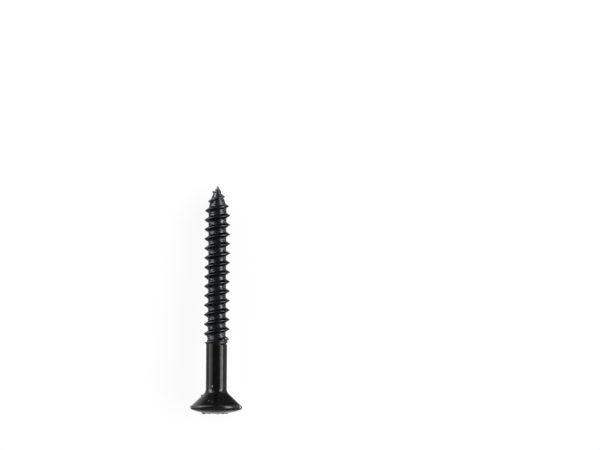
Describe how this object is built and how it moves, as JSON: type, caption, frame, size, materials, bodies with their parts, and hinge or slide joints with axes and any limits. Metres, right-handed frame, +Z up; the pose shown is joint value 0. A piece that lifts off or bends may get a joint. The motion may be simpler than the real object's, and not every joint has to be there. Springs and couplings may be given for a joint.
{
  "type": "self-tapping screw",
  "caption": "Black self-tapping screw with a raised countersunk head, cross recess, plain shank and a sharp thread to a gimlet point.",
  "frame": {"origin": "under the middle of the screw as it lies, on the surface it rests on", "axes": "+Z up; +Y from the head towards the point, along the screw's length seen from above; the screw's own axis dips towards the point by about 4 degrees, because it rests on the rim of its head and on one thread crest"},
  "size_m": [0.006, 0.0256, 0.0059],
  "materials": {
    "black_finish": "thin black conversion finish on steel, lightly oiled, semi-gloss"
  },
  "bodies": {
    "root": {"screw": "black_finish"}
  },
  "joints": []
}
